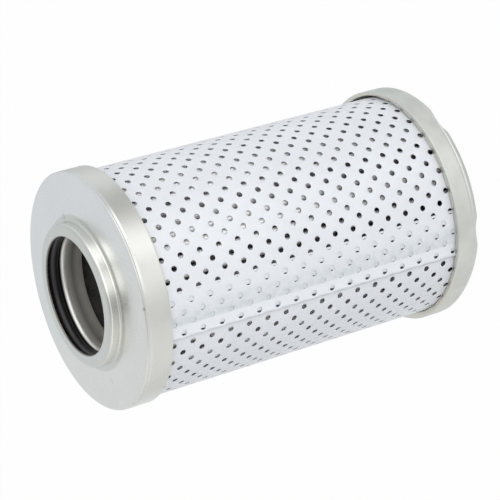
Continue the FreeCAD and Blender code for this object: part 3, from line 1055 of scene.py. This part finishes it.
adhesive = mattFinish("cured_adhesive", adhesiveLook)
dressNode("core_tube", coreFinish())
dressNode("open_end_adhesive", adhesive)
dressNode("closed_end_adhesive", adhesive)
print("pieces made")


# Camera: rolled so that the standing element lies along the picture

view = {
    "lens": 155.49,
    "place": (366.4, -521.3, 404.47),        # millimetres from the middle of the closed end
    "right": (0.48371, -0.214687, -0.848489),
    "up": (0.0, 0.969449, -0.245293),
    "back": (0.875228, 0.118651, 0.468933),
    "turn": -62.5,         # degrees that right, up and back are turned about the element's axis
}


def cameraAxes():
    turn = math.radians(view["turn"])
    spin = np.array([[math.cos(turn), -math.sin(turn), 0], [math.sin(turn), math.cos(turn), 0],
                     [0, 0, 1]])
    return np.array([view["right"], view["up"], view["back"]]) @ spin.T


def makeCamera():
    right, up, back = cameraAxes()
    data = bpy.data.cameras.new("camera")
    data.lens = view["lens"]
    data.sensor_width = 36.0
    data.clip_start = 0.01
    data.clip_end = 20.0
    camera = bpy.data.objects.new("camera", data)
    pose = np.eye(4)
    pose[:3, 0], pose[:3, 1], pose[:3, 2] = right, up, back
    pose[:3, 3] = np.array(view["place"]) * mm
    camera.matrix_world = Matrix(pose.tolist())
    bpy.context.scene.collection.objects.link(camera)
    bpy.context.scene.camera = camera


# Studio: floor, world and lamps

studio = {
    "floorSize": 6.0,        # metres
    "floorColour": (0.86, 0.86, 0.86),
    "floorGlow": 0.965,      # share of the floor that is plain white to the camera
    "ambient": 0.58,
    "lampColour": (1.0, 0.985, 0.965),
    # Soft patches of the room that metal mirrors: degrees about the element's axis and up from
    # level, the half width in degrees of the patch and of its soft edge, and how much lighter
    # than white it is
    "patches": (
        (-22, -23, 6, 20, 0.44),
        (-46, -23, 10, 36, 0.21),
        (-6, 6, 8, 24, 0.80),
        (2, 25, 6, 22, 0.92),
        (-24, 25, 5, 20, 0.05),
        (-48, 2, 8, 22, 0.38),
        (-50, 25, 8, 24, 0.75),
        (-135, 25, 14, 44, 0.14),
        (22, -23, 4, 28, -0.28),
        (-86, -23, 3, 21, -0.13),
        (-80, 25, 5, 24, -0.30),
        (178, -23, 8, 34, -0.11),
        (105, -23, 8, 34, -0.26),
        (-98, 43, 10, 38, -0.30),
        (-30, -68, 10, 32, -0.40),
    ),
    "coolSide": (95, 0, 20, 95),             # the walls lean to blue round this direction
    "coolColour": (0.955, 0.985, 1.0),
    # Lamps: degrees about the axis and up from level, distance and side in metres, watts
    "key": (-42, 22, 0.9, 1.1, 3.9),
    "fill": (80, 70, 1.1, 1.4, 5.0),
}


def heading(around, above):
    # Unit direction from degrees about the element's axis and degrees up from level
    around, above = math.radians(around), math.radians(above)
    return np.array([math.cos(around) * math.cos(above), math.sin(around) * math.cos(above),
                     math.sin(above)])


def pathRays(tree):
    # 1 where the camera, a reflection or a see-through ray looks straight at it, else 0
    rays = tree.nodes.new("ShaderNodeLightPath").outputs
    direct = math2(tree, "MAXIMUM", rays["Is Camera Ray"], rays["Is Glossy Ray"])
    return math2(tree, "MAXIMUM", direct, rays["Is Transmission Ray"])


def makeFloor():
    side = studio["floorSize"] / 2
    mesh = bpy.data.meshes.new("floor")
    mesh.from_pydata([(-side, -side, 0), (side, -side, 0), (side, side, 0), (-side, side, 0)], [],
                     [(0, 1, 2, 3)])
    floor = bpy.data.objects.new("floor", mesh)
    bpy.context.scene.collection.objects.link(floor)
    material, tree, shader = startFinish("studio_floor")
    paint(tree, shader, studio["floorColour"], 1.0)
    glow = tree.nodes.new("ShaderNodeEmission")
    glow.inputs["Strength"].default_value = 1.0
    mix = tree.nodes.new("ShaderNodeMixShader")
    tree.links.new(math2(tree, "MULTIPLY", pathRays(tree), studio["floorGlow"]), mix.inputs["Fac"])
    tree.links.new(shader.outputs["BSDF"], mix.inputs[1])
    tree.links.new(glow.outputs["Emission"], mix.inputs[2])
    # reflections look through the floor at the white world
    clear = tree.nodes.new("ShaderNodeBsdfTransparent")
    through = tree.nodes.new("ShaderNodeMixShader")
    glossy = tree.nodes.new("ShaderNodeLightPath").outputs["Is Glossy Ray"]
    tree.links.new(glossy, through.inputs["Fac"])
    tree.links.new(mix.outputs["Shader"], through.inputs[1])
    tree.links.new(clear.outputs["BSDF"], through.inputs[2])
    tree.links.new(through.outputs["Shader"], tree.nodes["Material Output"].inputs["Surface"])
    mesh.materials.append(material)


def makeWorld():
    # Light to matt surfaces is the ambient level. The camera sees plain white, and so do
    # reflections, with the soft patches added: each is whole inside its half width and gone at
    # its edge, by the cosine of the angle from its middle.
    world = bpy.data.worlds.new("studio")
    world.use_nodes = True
    tree = world.node_tree
    background = tree.nodes["Background"]
    looking = tree.nodes.new("ShaderNodeTexCoord").outputs["Generated"]

    def softPatch(around, above, inner, edge, level):
        along = tree.nodes.new("ShaderNodeVectorMath")
        along.operation = "DOT_PRODUCT"
        tree.links.new(looking, along.inputs[0])
        along.inputs[1].default_value = heading(around, above)
        patch = rescale(tree, along.outputs["Value"], math.cos(math.radians(edge)),
                        math.cos(math.radians(inner)), 0, level)
        patch.node.interpolation_type = "SMOOTHSTEP"
        return patch

    patches = 0.0
    for patch in studio["patches"]:
        patches = math2(tree, "ADD", softPatch(*patch), patches)
    glossy = tree.nodes.new("ShaderNodeLightPath").outputs["Is Glossy Ray"]
    cool = math2(tree, "MULTIPLY", softPatch(*studio["coolSide"], 1), glossy)
    tree.links.new(ramp(tree, cool, 0, 1, (1, 1, 1), studio["coolColour"]),
                   background.inputs["Color"])
    shown = math2(tree, "ADD", 1.0, math2(tree, "MULTIPLY", glossy, patches))
    rays = pathRays(tree)
    matt = math2(tree, "MULTIPLY", math2(tree, "SUBTRACT", 1.0, rays), studio["ambient"])
    tree.links.new(math2(tree, "ADD", matt, math2(tree, "MULTIPLY", rays, shown)),
                   background.inputs["Strength"])
    bpy.context.scene.world = world


def addLamp(name, around, above, distance, size, power):
    # Square soft box that far from the middle of the element, facing it
    away = heading(around, above)
    data = bpy.data.lights.new(name, "AREA")
    data.shape = "SQUARE"
    data.size = size
    data.energy = power
    data.color = studio["lampColour"]
    lamp = bpy.data.objects.new(name, data)
    lamp.location = np.array([0, 0, faceLevel / 2]) * mm + away * distance
    lamp.visible_glossy = False        # metal mirrors the world's patches instead
    lamp.rotation_euler = Vector(-away).to_track_quat("-Z", "Y").to_euler()
    bpy.context.scene.collection.objects.link(lamp)


makeCamera()
makeFloor()
makeWorld()
addLamp("key_soft_box", *studio["key"])
addLamp("fill_soft_box", *studio["fill"])
bpy.context.scene.view_settings.view_transform = "Standard"
print("studio made")
